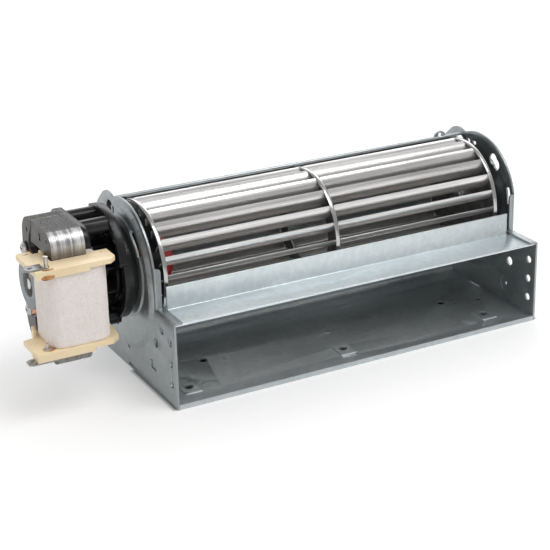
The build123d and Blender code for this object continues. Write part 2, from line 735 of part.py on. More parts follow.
parts = {
    "end_plate_left": end_plate_left,
    "end_plate_right": end_plate_right,
    "scroll_sheet": scroll_sheet,
    "cut_off_sheet": cut_off_sheet,
    "end_disc_left": end_disc_left,
    "mid_ring": mid_ring,
    "end_disc_right": end_disc_right,
    "blades": blades,
    "impeller_hub": impeller_hub,
    "stub_shaft": stub_shaft,
    "end_bush": end_bush,
    "end_bearing": lambda: bearing(seat_face - 4.0, seat_face + 2.4, end_bearing_radius),
    "motor_shaft": motor_shaft,
    "rotor_core": rotor_core,
    "cooling_fan": cooling_fan,
    "stator_front": stator_front,
    "stator_rear": stator_rear,
    "shading_rings": shading_rings,
    "bobbin": bobbin,
    "coil": coil,
    "terminal_upper": terminal_upper,
    "terminal_lower": terminal_lower,
    "winding_pins": winding_pins,
    "bearing_bracket": bearing_bracket,
    "motor_screws": motor_screws,
    "bearing_rear": lambda: bearing(cup_floor - bearing_length, cup_floor, bearing_radius),
    "bearing_front": lambda: bearing(front_bearing_left, front_bearing_left + front_bearing_length,
                                     front_bearing_radius),
    "motor_mount": motor_mount,
}

os.makedirs("parts", exist_ok=True)
solids = {name: make() for name, make in parts.items()}
whole = Compound(children=[Compound(children=list(shape.solids())) for shape in solids.values()]).bounding_box()
shift = Pos(-(whole.min.X + whole.max.X) / 2, -(whole.min.Y + whole.max.Y) / 2, -whole.min.Z)
for name, shape in solids.items():
    placed = [shift * solid for solid in shape.solids()]
    result = placed[0] if len(placed) == 1 else Compound(children=placed)
    export_step(result, f"parts/{name}.step")
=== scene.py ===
import bpy
import bmesh
import json
import math
import random
from mathutils import Matrix, Vector, noise as rough_noise

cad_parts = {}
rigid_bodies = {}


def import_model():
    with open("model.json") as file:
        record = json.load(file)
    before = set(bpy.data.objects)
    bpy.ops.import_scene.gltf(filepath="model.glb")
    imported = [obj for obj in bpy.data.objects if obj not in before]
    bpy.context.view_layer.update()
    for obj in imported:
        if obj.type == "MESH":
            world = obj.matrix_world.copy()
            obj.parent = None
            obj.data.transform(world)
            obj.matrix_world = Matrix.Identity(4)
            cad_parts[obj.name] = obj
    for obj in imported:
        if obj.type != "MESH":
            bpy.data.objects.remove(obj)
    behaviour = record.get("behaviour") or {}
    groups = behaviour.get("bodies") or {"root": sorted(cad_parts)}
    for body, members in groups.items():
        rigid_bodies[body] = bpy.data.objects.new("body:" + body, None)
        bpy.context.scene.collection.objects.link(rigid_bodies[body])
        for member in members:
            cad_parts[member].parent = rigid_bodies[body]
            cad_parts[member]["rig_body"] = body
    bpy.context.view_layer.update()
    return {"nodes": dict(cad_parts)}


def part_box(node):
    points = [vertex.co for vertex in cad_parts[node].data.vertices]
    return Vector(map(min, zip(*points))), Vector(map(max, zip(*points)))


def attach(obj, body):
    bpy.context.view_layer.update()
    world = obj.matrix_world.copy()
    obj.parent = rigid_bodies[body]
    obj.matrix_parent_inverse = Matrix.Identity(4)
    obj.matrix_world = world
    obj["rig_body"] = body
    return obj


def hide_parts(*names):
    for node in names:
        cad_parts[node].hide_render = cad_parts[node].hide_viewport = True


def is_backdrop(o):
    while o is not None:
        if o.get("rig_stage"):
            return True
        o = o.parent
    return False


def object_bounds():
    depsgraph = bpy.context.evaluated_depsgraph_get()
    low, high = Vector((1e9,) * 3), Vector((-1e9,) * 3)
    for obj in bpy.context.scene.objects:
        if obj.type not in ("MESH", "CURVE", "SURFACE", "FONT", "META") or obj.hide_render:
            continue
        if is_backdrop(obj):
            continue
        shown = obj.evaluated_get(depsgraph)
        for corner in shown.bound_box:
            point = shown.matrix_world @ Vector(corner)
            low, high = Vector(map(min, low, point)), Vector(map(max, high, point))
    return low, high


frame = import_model()

# The two end plates, the scroll sheet with its floor, and the cut-off angle. All four are punched
# and bent from 1 mm galvanised steel, then tabbed together.
# Places on the part are given in millimetres from the shaft's middle.
mm = 0.001
crisp_angle = 38
dome_angle = 16
sheet_edge = 0.2
zinc_grey = (0.68, 0.74, 0.76)
zinc_pale = (0.77, 0.82, 0.835)
zinc_dark = (0.56, 0.62, 0.645)
zinc_bright = (0.86, 0.89, 0.90)
# Each sheet's number is a painted shade on its zinc colour: the end plates and the scroll sheet are darker,
# standing in for the shade they sit in, and the cut-off angle keeps the full tone.
sheets_with_painted_shade = [("end_plate_left", 0.48, crisp_angle), ("end_plate_right", 0.50, crisp_angle),
          ("scroll_sheet", 0.76, dome_angle), ("cut_off_sheet", 1.0, crisp_angle)]
plate_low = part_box("end_plate_left")[0]
right_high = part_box("end_plate_right")[1]
disc_low, disc_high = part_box("end_disc_right")
middle = Vector(((plate_low.x + right_high.x) / 2, (disc_low.y + disc_high.y) / 2, 0))
shaft_height = (disc_low.z + disc_high.z) / 2


def spot(x, y, z):
    """A place given from the shaft's middle, in millimetres, as metres in the row frame."""
    return Vector((middle.x + x * mm, middle.y + y * mm, shaft_height + z * mm))


def new_group(name, inputs, outputs):
    """An empty shader node group with named sockets."""
    group = bpy.data.node_groups.new(name, "ShaderNodeTree")
    kinds = {"vector": "NodeSocketVector", "value": "NodeSocketFloat"}
    for socket, kind, value in inputs:
        made = group.interface.new_socket(socket, in_out="INPUT", socket_type=kinds[kind])
        made.default_value = value
    for socket, kind in outputs:
        group.interface.new_socket(socket, in_out="OUTPUT", socket_type=kinds[kind])
    entry = group.nodes.new("NodeGroupInput")
    leave = group.nodes.new("NodeGroupOutput")
    return group, entry, leave


def feed(tree, socket, value):
    """Links a socket to another one, or sets it to a plain value."""
    if isinstance(value, bpy.types.NodeSocket):
        tree.links.new(value, socket)
    else:
        socket.default_value = value


def noise(tree, scale, detail, rough, vector):
    """Noise of a given fineness at a vector."""
    node = tree.nodes.new("ShaderNodeTexNoise")
    node.inputs["Detail"].default_value = detail
    node.inputs["Roughness"].default_value = rough
    feed(tree, node.inputs["Scale"], scale)
    feed(tree, node.inputs["Vector"], vector)
    return node.outputs["Fac"]


def vector_math(tree, operation, first, second=(0, 0, 0)):
    """One vector operation on two vectors, or on the first alone."""
    node = tree.nodes.new("ShaderNodeVectorMath")
    node.operation = operation
    feed(tree, node.inputs[0], first)
    feed(tree, node.inputs[1], second)
    return node.outputs["Value" if operation == "LENGTH" else "Vector"]


def sums(tree, operation, first, second=0.0):
    """One operation on two numbers, or on the first alone."""
    node = tree.nodes.new("ShaderNodeMath")
    node.operation = operation
    feed(tree, node.inputs[0], first)
    feed(tree, node.inputs[1], second)
    return node.outputs[0]


def spread(tree, value, low, high, to_low, to_high):
    """Stretches a range of values to another one, clamped."""
    node = tree.nodes.new("ShaderNodeMapRange")
    for name, number in (("From Min", low), ("From Max", high), ("To Min", to_low), ("To Max", to_high)):
        feed(tree, node.inputs[name], number)
    tree.links.new(value, node.inputs["Value"])
    return node.outputs["Result"]


def blend_colours(tree, mask, first, second):
    """The first colour where the mask is 0, and the second where it is 1."""
    node = tree.nodes.new("ShaderNodeMix")
    node.data_type = "RGBA"
    feed(tree, node.inputs[0], mask)
    for socket, colour in ((node.inputs[6], first), (node.inputs[7], second)):
        feed(tree, socket, colour if isinstance(colour, bpy.types.NodeSocket) else (*colour, 1))
    return node.outputs[2]


def bump(tree, height, strength, distance, under=None):
    """A normal tilted by a height, on top of another normal if one is given."""
    node = tree.nodes.new("ShaderNodeBump")
    node.inputs["Strength"].default_value = strength
    node.inputs["Distance"].default_value = distance
    tree.links.new(height, node.inputs["Height"])
    if under is not None:
        tree.links.new(under, node.inputs["Normal"])
    return node.outputs["Normal"]


def rolled_grain():
    """Fine lines left by the rolling mill, along the direction with the small stretch."""
    inputs = [("Vector", "vector", (0, 0, 0)), ("Stretch", "vector", (0.03, 1, 1)),
              ("Fineness", "value", 900.0)]
    group, entry, leave = new_group("rolled_grain", inputs, [("Mask", "value")])
    drawn = vector_math(group, "MULTIPLY", entry.outputs["Vector"], entry.outputs["Stretch"])
    lines = noise(group, entry.outputs["Fineness"], detail=3, rough=0.55, vector=drawn)
    group.links.new(spread(group, lines, 0.3, 0.7, 0, 1), leave.inputs["Mask"])
    return group


def smudges():
    """Soft cloudy marks of handling, oil and uneven coating."""
    inputs = [("Vector", "vector", (0, 0, 0)), ("Scale", "value", 40.0), ("Low", "value", 0.35),
              ("High", "value", 0.65)]
    group, entry, leave = new_group("smudges", inputs, [("Mask", "value")])
    cloud = noise(group, entry.outputs["Scale"], detail=4, rough=0.6, vector=entry.outputs["Vector"])
    mask = spread(group, cloud, entry.outputs["Low"], entry.outputs["High"], 0, 1)
    group.links.new(mask, leave.inputs["Mask"])
    return group


def scratches():
    """A few thin scratches in two directions."""
    inputs = [("Vector", "vector", (0, 0, 0)), ("Fineness", "value", 700.0), ("Rarity", "value", 0.70)]
    group, entry, leave = new_group("scratches", inputs, [("Mask", "value")])
    first = vector_math(group, "MULTIPLY", entry.outputs["Vector"], (0.05, 1.0, 0.7))
    second = vector_math(group, "MULTIPLY", entry.outputs["Vector"], (0.9, 0.12, 0.5))
    lines = [noise(group, entry.outputs["Fineness"], detail=1, rough=0.4, vector=drawn)
             for drawn in (first, second)]
    both = sums(group, "MAXIMUM", *lines)
    top = sums(group, "ADD", entry.outputs["Rarity"], 0.06)
    group.links.new(spread(group, both, entry.outputs["Rarity"], top, 0, 1), leave.inputs["Mask"])
    return group


grain_group = rolled_grain()
smudge_group = smudges()
scratch_group = scratches()


def effect(tree, group, **values):
    """Places a shader group in a material with its own values and returns what it gives."""
    node = tree.nodes.new("ShaderNodeGroup")
    node.node_tree = group
    for name, value in values.items():
        feed(tree, node.inputs[name], value)
    return node.outputs[0]


def base_finish(name, metallic, roughness=0.5, coat=0.0, coat_roughness=0.1):
    """A new material with its plain numbers on the shader itself."""
    material = bpy.data.materials.new(name)
    material.use_nodes = True
    shader = material.node_tree.nodes["Principled BSDF"]
    shader.inputs["Metallic"].default_value = metallic
    shader.inputs["Roughness"].default_value = roughness
    shader.inputs["Coat Weight"].default_value = coat
    shader.inputs["Coat Roughness"].default_value = coat_roughness
    here = material.node_tree.nodes.new("ShaderNodeTexCoord").outputs["Object"]
    return material, material.node_tree, shader, here


def shaded(colour, shade):
    """A colour made lighter or darker by a factor."""
    return tuple(shade * part for part in colour)


def zinc_sheet(name, shade):
    """Zinc coat with soft clouds and fine rolling lines; shade scales its colour as painted shade."""
    material, tree, shader, here = base_finish(name, 0.74)
    cloud = effect(tree, smudge_group, Vector=here, Scale=46.0, Low=0.32, High=0.68)
    patch = effect(tree, smudge_group, Vector=here, Scale=310.0, Low=0.36, High=0.66)
    grain = effect(tree, grain_group, Vector=here, Stretch=(0.3, 1, 1), Fineness=1500.0)
    marks = effect(tree, scratch_group, Vector=here, Fineness=620.0, Rarity=0.72)
    # The shade factor darkens all these tones as painted shade.
    colour = blend_colours(tree, cloud, shaded(zinc_grey, shade), shaded(zinc_pale, shade))
    colour = blend_colours(tree, spread(tree, patch, 0, 1, 0, 0.5), colour, shaded(zinc_dark, shade))
    colour = blend_colours(tree, spread(tree, marks, 0, 1, 0, 0.5), colour, shaded(zinc_bright, shade))
    tree.links.new(colour, shader.inputs["Base Color"])
    gloss = sums(tree, "ADD", spread(tree, grain, 0, 1, -0.05, 0.05), spread(tree, cloud, 0, 1, 0.30, 0.39))
    tree.links.new(gloss, shader.inputs["Roughness"])
    sway = noise(tree, 30.0, detail=2, rough=0.5, vector=here)
    wavy = bump(tree, sway, strength=0.12, distance=0.001)
    fine = bump(tree, grain, strength=0.12, distance=0.0001, under=wavy)
    tree.links.new(fine, shader.inputs["Normal"])
    return material


def merged_copy(node, crease):
    """A CAD node's mesh as one merged shell, with its shallow edges above the crease angle kept crisp."""
    mesh = frame["nodes"][node].data.copy()
    shape = bmesh.new()
    shape.from_mesh(mesh)
    bmesh.ops.remove_doubles(shape, verts=shape.verts, dist=1e-6)
    bmesh.ops.dissolve_limit(shape, angle_limit=math.radians(1.0), verts=shape.verts, edges=shape.edges)
    shallow, steep = math.radians(crease), math.radians(crisp_angle)
    for edge in shape.edges:
        if len(edge.link_faces) == 2 and shallow < edge.calc_face_angle() < steep:
            edge.smooth = False
    shape.to_mesh(mesh)
    shape.free()
    return mesh


def ease(piece, width, segments=2):
    """Rounds a piece's sharp edges by a width in millimetres."""
    bevel = piece.modifiers.new("eased_edge", "BEVEL")
    bevel.width = width * mm
    bevel.segments = segments
    bevel.limit_method = "ANGLE"
    bevel.angle_limit = math.radians(crisp_angle)
    bevel.use_clamp_overlap = True
    bevel.harden_normals = True


def add_piece(name, mesh, material):
    """A new smooth shaded piece in one material."""
    mesh.materials.clear()
    mesh.materials.append(material)
    mesh.shade_smooth()
    piece = bpy.data.objects.new(name, mesh)
    bpy.context.scene.collection.objects.link(piece)
    return piece


def dressed(node, width, material, crease=crisp_angle):
    """A merged copy of a CAD piece, its edges eased by a width, which stands for the CAD piece."""
    piece = add_piece(node + "_dressed", merged_copy(node, crease), material)
    ease(piece, width)
    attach(piece, frame["nodes"][node]["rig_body"])
    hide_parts(node)


for node, shade, crease in sheets_with_painted_shade:
    dressed(node, sheet_edge, zinc_sheet(node + "_zinc", shade), crease)


# The wheel's three discs of 1 mm aluminium, with turned rims. The end discs' faces are dull from pressing and
# painted dark as shade, and the rims are lighter from turning.
disc_edge = 0.14
rim_start = 28.9
rim_blend = 0.3
# The faces' colour is painted shade, with uneven wear in clouds.
face_painted_shade = (0.17, 0.17, 0.17)
face_worn = 1.6
rim_bright = (0.50, 0.50, 0.50)


def distance_from_shaft():
    """How far a point stands from the shaft's line."""
    inputs = [("Vector", "vector", (0, 0, 0))]
    group, entry, leave = new_group("distance_from_shaft", inputs, [("Distance", "value")])
    away = vector_math(group, "SUBTRACT", entry.outputs["Vector"], tuple(spot(0, 0, 0)))
    across = vector_math(group, "MULTIPLY", away, (0, 1, 1))
    group.links.new(vector_math(group, "LENGTH", across), leave.inputs["Distance"])
    return group


shaft_group = distance_from_shaft()


def disc_alloy():
    """Aluminium, dull and painted dark as shade on the pressed faces, and light on the turned rim."""
    material, tree, shader, here = base_finish("turned_disc_painted_shade", 1.0)
    radius = effect(tree, shaft_group, Vector=here)
    rim = spread(tree, radius, (rim_start - rim_blend) * mm, rim_start * mm, 0, 1)
    cloud = effect(tree, smudge_group, Vector=here, Scale=260.0, Low=0.3, High=0.7)
    face_shade_and_wear = blend_colours(tree, cloud, face_painted_shade, shaded(face_painted_shade, face_worn))
    tree.links.new(blend_colours(tree, rim, face_shade_and_wear, rim_bright), shader.inputs["Base Color"])
    tree.links.new(spread(tree, rim, 0, 1, 0.42, 0.22), shader.inputs["Roughness"])
    tree.links.new(bump(tree, cloud, strength=0.1, distance=0.0002), shader.inputs["Normal"])
    return material


turned = disc_alloy()
for node in ("end_disc_left", "mid_ring", "end_disc_right"):
    dressed(node, disc_edge, turned)


# The wheel's 22 curved blades, cut from half millimetre aluminium strip and rolled to an arc. Each
# is tabbed through the three discs, and its corners are rounded before the rings.
blade_count = 22
blade_inner = 23.0
blade_curve = 6.4
blade_sweep = 74.0
blade_sheet = 0.5
blade_first_turn = 4.0
blade_looseness = 0.006
blade_steps = 25
inner_corner = 3.2
outer_corner = 0.6
blade_spans = ((-92.8, -3.8), (-1.6, 88.6))
tab_spans = ((-94.9, -92.6), (-4.0, -1.4), (88.4, 91.1))
tab_share = (0.175, 0.58)
tab_clearance = 0.04
tab_corner = 0.3
blade_crisp_angle = 40
# The blades' colour is painted light: streaked and lighter towards the wheel's outside as a highlight, warmer
# and greyer inside as shade.
painted_highlight_radius = 28.5
strip_dark = (0.52, 0.51, 0.505)
strip_bright = (0.90, 0.89, 0.88)
painted_shade_dark = (0.57, 0.545, 0.52)
painted_shade_pale = (0.69, 0.665, 0.64)


def new_geometry_tree(name, inputs):
    """An empty Geometry Nodes tree with named inputs."""
    tree = bpy.data.node_groups.new(name, "GeometryNodeTree")
    kinds = {"geometry": "NodeSocketGeometry", "value": "NodeSocketFloat", "count": "NodeSocketInt",
             "vector": "NodeSocketVector", "material": "NodeSocketMaterial"}
    tree.interface.new_socket("Geometry", in_out="INPUT", socket_type=kinds["geometry"])
    for socket, kind in inputs:
        tree.interface.new_socket(socket, in_out="INPUT", socket_type=kinds[kind])
    tree.interface.new_socket("Geometry", in_out="OUTPUT", socket_type=kinds["geometry"])
    return tree, tree.nodes.new("NodeGroupInput"), tree.nodes.new("NodeGroupOutput")


def grown(name, mesh, tree, values):
    """Runs a tree on a mesh and returns the result as a plain mesh."""
    holder = bpy.data.objects.new(name + "_base", mesh)
    bpy.context.scene.collection.objects.link(holder)
    modifier = holder.modifiers.new("grow", "NODES")
    modifier.node_group = tree
    for socket in tree.interface.items_tree:
        if socket.in_out == "INPUT" and socket.name in values:
            modifier[socket.identifier] = values[socket.name]
    bpy.context.view_layer.update()
    view = holder.evaluated_get(bpy.context.evaluated_depsgraph_get())
    result = bpy.data.meshes.new_from_object(view)
    holder.modifiers.remove(modifier)
    bpy.data.objects.remove(holder)
    result.name = name
    return result


def end_tree(tree, entry, leave, items):
    """Realises the items, gives them the material and ends the tree."""
    real = tree.nodes.new("GeometryNodeRealizeInstances")
    paint = tree.nodes.new("GeometryNodeSetMaterial")
    tree.links.new(items, real.inputs[0])
    tree.links.new(real.outputs[0], paint.inputs["Geometry"])
    tree.links.new(entry.outputs["Finish"], paint.inputs["Material"])
    tree.links.new(paint.outputs[0], leave.inputs[0])


def thicken(tree, sheet, thickness):
    """Gives a bent sheet its thickness along its normals and closes it."""
    raise_up = tree.nodes.new("GeometryNodeExtrudeMesh")
    raise_up.inputs["Individual"].default_value = False
    tree.links.new(sheet, raise_up.inputs["Mesh"])
    tree.links.new(thickness, raise_up.inputs["Offset Scale"])
    turned_over = tree.nodes.new("GeometryNodeFlipFaces")
    tree.links.new(sheet, turned_over.inputs["Mesh"])
    joined = tree.nodes.new("GeometryNodeJoinGeometry")
    tree.links.new(raise_up.outputs["Mesh"], joined.inputs[0])
    tree.links.new(turned_over.outputs["Mesh"], joined.inputs[0])
    merged = tree.nodes.new("GeometryNodeMergeByDistance")
    merged.inputs["Distance"].default_value = 1e-6
    tree.links.new(joined.outputs[0], merged.inputs["Geometry"])
    return merged.outputs["Geometry"]


def blade_tree():
    """A strip rolled to an arc from Start to End, repeated round the shaft."""
    inputs = [("Start", "value"), ("End", "value"), ("Inner Radius", "value"), ("Curve Radius", "value"),
              ("Sweep Start", "value"), ("Sweep End", "value"), ("Sheet", "value"), ("Inner Corner", "value"),
              ("Outer Corner", "value"), ("Blades", "count"), ("First Turn", "value"), ("Shaft", "vector"),
              ("Finish", "material")]
    tree, entry, leave = new_geometry_tree("wheel_blades", inputs)
    give = entry.outputs
    grid = tree.nodes.new("GeometryNodeMeshGrid")
    for name, value in (("Size X", 1.0), ("Size Y", 1.0), ("Vertices X", 2), ("Vertices Y", blade_steps)):
        grid.inputs[name].default_value = value
    where = tree.nodes.new("GeometryNodeInputPosition")
    parts = tree.nodes.new("ShaderNodeSeparateXYZ")
    tree.links.new(where.outputs[0], parts.inputs[0])
    along = sums(tree, "ADD", parts.outputs["X"], 0.5)
    across = sums(tree, "ADD", parts.outputs["Y"], 0.5)
    span = sums(tree, "SUBTRACT", give["Sweep End"], give["Sweep Start"])
    angle = sums(tree, "ADD", give["Sweep Start"], sums(tree, "MULTIPLY", across, span))
    width = sums(tree, "MULTIPLY", span, give["Curve Radius"])
    from_inner = sums(tree, "MULTIPLY", across, width)
    from_outer = sums(tree, "SUBTRACT", width, from_inner)
    pulls = []
    for corner, distance in ((give["Inner Corner"], from_inner), (give["Outer Corner"], from_outer)):
        short = sums(tree, "MAXIMUM", sums(tree, "SUBTRACT", corner, distance), 0.0)
        share = sums(tree, "DIVIDE", short, corner)
        arc = sums(tree, "SQRT", sums(tree, "SUBTRACT", 1.0, sums(tree, "MULTIPLY", share, share)))
        pulls.append(sums(tree, "MULTIPLY", corner, sums(tree, "SUBTRACT", 1.0, arc)))
    pull = sums(tree, "ADD", *pulls)
    first = sums(tree, "ADD", give["Start"], pull)
    last = sums(tree, "SUBTRACT", give["End"], pull)
    x = sums(tree, "ADD", first, sums(tree, "MULTIPLY", along, sums(tree, "SUBTRACT", last, first)))
    reach = sums(tree, "MULTIPLY", sums(tree, "SINE", angle), give["Curve Radius"])
    y = sums(tree, "ADD", give["Inner Radius"], reach)
    fall = sums(tree, "MULTIPLY", sums(tree, "COSINE", angle), give["Curve Radius"])
    z = sums(tree, "SUBTRACT", fall, give["Curve Radius"])
    point = tree.nodes.new("ShaderNodeCombineXYZ")
    for name, value in (("X", x), ("Y", y), ("Z", z)):
        tree.links.new(value, point.inputs[name])
    bent = tree.nodes.new("GeometryNodeSetPosition")
    tree.links.new(grid.outputs["Mesh"], bent.inputs["Geometry"])
    tree.links.new(point.outputs[0], bent.inputs["Position"])
    blade = thicken(tree, bent.outputs[0], give["Sheet"])
    points = tree.nodes.new("GeometryNodePoints")
    tree.links.new(give["Blades"], points.inputs["Count"])
    number = tree.nodes.new("GeometryNodeInputIndex")
    pitch = sums(tree, "DIVIDE", 2 * math.pi, give["Blades"])
    turn = sums(tree, "ADD", give["First Turn"], sums(tree, "MULTIPLY", number.outputs[0], pitch))
    loose = tree.nodes.new("FunctionNodeRandomValue")
    loose.data_type = "FLOAT"
    loose.inputs[2].default_value = -blade_looseness
    loose.inputs[3].default_value = blade_looseness
    loose.inputs["Seed"].default_value = 7
    turn = sums(tree, "ADD", turn, loose.outputs[1])
    turns = tree.nodes.new("ShaderNodeCombineXYZ")
    tree.links.new(turn, turns.inputs["X"])
    rotation = tree.nodes.new("FunctionNodeEulerToRotation")
    tree.links.new(turns.outputs[0], rotation.inputs[0])
    copies = tree.nodes.new("GeometryNodeInstanceOnPoints")
    tree.links.new(points.outputs[0], copies.inputs["Points"])
    tree.links.new(blade, copies.inputs["Instance"])
    tree.links.new(rotation.outputs[0], copies.inputs["Rotation"])
    moved = tree.nodes.new("GeometryNodeTransform")
    tree.links.new(copies.outputs[0], moved.inputs["Geometry"])
    tree.links.new(give["Shaft"], moved.inputs["Translation"])
    end_tree(tree, entry, leave, moved.outputs[0])
    return tree


def blade_alloy():
    """Strip with fine lines from rolling, painted with a highlight at the wheel's outside and a warm grey
    shade inside.
    """
    material, tree, shader, here = base_finish("rolled_blade", 0.85)
    drawn = vector_math(tree, "MULTIPLY", here, (0.25, 1, 1))
    streak = effect(tree, grain_group, Vector=here, Stretch=(0.015, 1, 1), Fineness=1300.0)
    cloud = effect(tree, smudge_group, Vector=drawn, Scale=150.0, Low=0.3, High=0.7)
    radius = effect(tree, shaft_group, Vector=here)
    outer = spread(tree, radius, blade_inner * mm, painted_highlight_radius * mm, 0, 1)
    painted_highlight_streaks = blend_colours(tree, streak, strip_dark, strip_bright)
    painted_shade_inside = blend_colours(tree, cloud, painted_shade_dark, painted_shade_pale)
    tree.links.new(blend_colours(tree, outer, painted_shade_inside, painted_highlight_streaks), shader.inputs["Base Color"])
    dull = sums(tree, "ADD", spread(tree, cloud, 0, 1, 0.26, 0.32), spread(tree, outer, 0, 1, 0.16, 0.0))
    tree.links.new(dull, shader.inputs["Roughness"])
    sway = noise(tree, 40.0, detail=1, rough=0.4, vector=drawn)
    wavy = bump(tree, sway, strength=0.1, distance=0.0006)
    lined = bump(tree, streak, strength=0.03, distance=0.0001, under=wavy)
    tree.links.new(lined, shader.inputs["Normal"])
    return material


def join_meshes(name, meshes):
    """Several meshes as one."""
    shape = bmesh.new()
    for mesh in meshes:
        shape.from_mesh(mesh)
    whole = bpy.data.meshes.new(name)
    shape.to_mesh(whole)
    shape.free()
    return whole


strip_tree = blade_tree()
rolled = blade_alloy()
sweep = math.radians(blade_sweep)
wheel_values = {"Inner Radius": blade_inner * mm, "Curve Radius": blade_curve * mm, "Blades": blade_count,
                "First Turn": math.radians(blade_first_turn), "Shaft": spot(0, 0, 0), "Finish": rolled}
strips = []
for start, end in blade_spans:
    values = dict(wheel_values, Start=start * mm, End=end * mm, Sheet=blade_sheet * mm)
    values.update({"Sweep Start": 0.0, "Sweep End": sweep, "Inner Corner": inner_corner * mm,
                   "Outer Corner": outer_corner * mm})
    strips.append(grown("blade_span", bpy.data.meshes.new("seed"), strip_tree, values))
for start, end in tab_spans:
    values = dict(wheel_values, Start=start * mm, End=end * mm, Sheet=(blade_sheet - tab_clearance) * mm)
    values.update({"Curve Radius": (blade_curve + tab_clearance / 2) * mm,
                   "Sweep Start": tab_share[0] * sweep, "Sweep End": tab_share[1] * sweep,
                   "Inner Corner": tab_corner * mm, "Outer Corner": tab_corner * mm})
    strips.append(grown("blade_tabs", bpy.data.meshes.new("seed"), strip_tree, values))
blades = add_piece("wheel_blades", join_meshes("wheel_blades", strips), rolled)
blades.data.set_sharp_from_angle(angle=math.radians(blade_crisp_angle))
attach(blades, frame["nodes"]["blades"]["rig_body"])
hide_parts("blades")


# The red silicone hub inside the wheel's left end, moulded, and the black rubber bush that holds the
# right bearing in its plate.
def moulded(name, dark, light, rough_low, rough_high, texture, shine=0.5):
    """Plastic or rubber with soft clouds and a fine grain from its mould."""
    material, tree, shader, here = base_finish(name, 0.0)
    shader.inputs["Specular IOR Level"].default_value = shine
    cloud = effect(tree, smudge_group, Vector=here, Scale=70.0, Low=0.3, High=0.7)
    grain = noise(tree, 2600.0, detail=2, rough=0.5, vector=here)
    tree.links.new(blend_colours(tree, cloud, dark, light), shader.inputs["Base Color"])
    tree.links.new(spread(tree, cloud, 0, 1, rough_low, rough_high), shader.inputs["Roughness"])
    tree.links.new(bump(tree, grain, strength=texture, distance=0.0002), shader.inputs["Normal"])
    return material


red = moulded("red_silicone", (0.30, 0.012, 0.010), (0.38, 0.02, 0.015), 0.35, 0.45, 0.1)
rubber = moulded("black_rubber", (0.010, 0.010, 0.010), (0.018, 0.018, 0.018), 0.45, 0.6, 0.2)
dressed("impeller_hub", 0.4, red)
dressed("end_bush", 0.4, rubber)


# The two turned steel shafts: the motor's own and the stub at the wheel's right end. They run in
# three bearings of sintered bronze.
def plain_metal(name, dark, light, rough, texture=0.05, metallic=1.0):
    """Metal with small soft clouds in its colour, gloss and surface."""
    material, tree, shader, here = base_finish(name, metallic)
    cloud = effect(tree, smudge_group, Vector=here, Scale=400.0, Low=0.3, High=0.7)
    tree.links.new(blend_colours(tree, cloud, dark, light), shader.inputs["Base Color"])
    tree.links.new(spread(tree, cloud, 0, 1, rough - 0.05, rough + 0.05), shader.inputs["Roughness"])
    tree.links.new(bump(tree, cloud, strength=texture, distance=0.0002), shader.inputs["Normal"])
    return material


ground = plain_metal("ground_steel", (0.50, 0.50, 0.50), (0.62, 0.62, 0.62), 0.25)
bronze = plain_metal("sintered_bronze", (0.30, 0.19, 0.09), (0.42, 0.29, 0.15), 0.45)
dressed("stub_shaft", 0.1, ground)
dressed("motor_shaft", 0.1, ground)
for node in ("end_bearing", "bearing_front", "bearing_rear"):
    dressed(node, 0.1, bronze)


# The black moulded basket that carries the motor on the left plate, and the cooling wheel inside
# its barrel. Both are glass-filled plastic with a shiny skin.
gloss_black = moulded("black_moulding", (0.011, 0.011, 0.012), (0.017, 0.017, 0.018), 0.20, 0.30, 0.12,
                      shine=0.3)
dressed("motor_mount", 0.35, gloss_black)
dressed("cooling_fan", 0.15, gloss_black)


# The motor's two lamination packs, punched from electrical sheet and stacked. The front one is a C
# that carries the coil, the rear one closes it round the rotor. An outline's corner is y, z and its
# radius, and a stacking mark is y, z, width and height.
pack_left = -146.7
pack_length = 16.0
sheet_count = 20
sheet_gap = 0.05
sheet_looseness = 0.07
marked_sheets = 2
front_outline = [(-28.5, 31.9, 7.0), (-4.7, 31.9, 0), (-1.8, 21.0, 0), (-18.5, 21.0, 0), (-18.5, -21.0, 0),
                 (-1.8, -21.0, 0), (-4.7, -31.9, 0), (-28.5, -31.9, 7.0)]
rear_outline = [(8.6, 31.9, 9.5), (-4.4, 31.9, 0), (1.3, 21.0, 0), (1.1, 17.0, 0), (-12.3, 13.0, 0),
                (-12.3, -13.0, 0), (1.1, -17.0, 0), (1.1, -21.0, 0), (-4.4, -31.9, 0), (14.2, -31.9, 14.0)]
front_marks = [(-14.2, 27.0, 2.2, 3.8), (-22.6, 27.2, 1.2, 2.0)]
rear_marks = [(2.8, 25.3, 1.6, 2.2)]
pole_legs = [(1.6, 14.6), (1.6, -14.6), (-9.6, 9.8), (-9.6, -9.8)]
leg_width = 2.0
screw_places = [(6.3, 15.2), (6.3, -15.2)]
screw_radius = 1.8
bore_radius = 11.0
brown_fade_heights = (22, 26)
steel_dark = (0.34, 0.34, 0.345)
steel_bright = (0.88, 0.88, 0.89)
lower_brown_tone = (0.17, 0.145, 0.12)
brown_stain = (0.16, 0.14, 0.13)
painted_top_dark = (0.012, 0.012, 0.014)
painted_top_pale = (0.04, 0.04, 0.042)
coat_dark = (0.045, 0.04, 0.038)
coat_pale = (0.085, 0.075, 0.07)


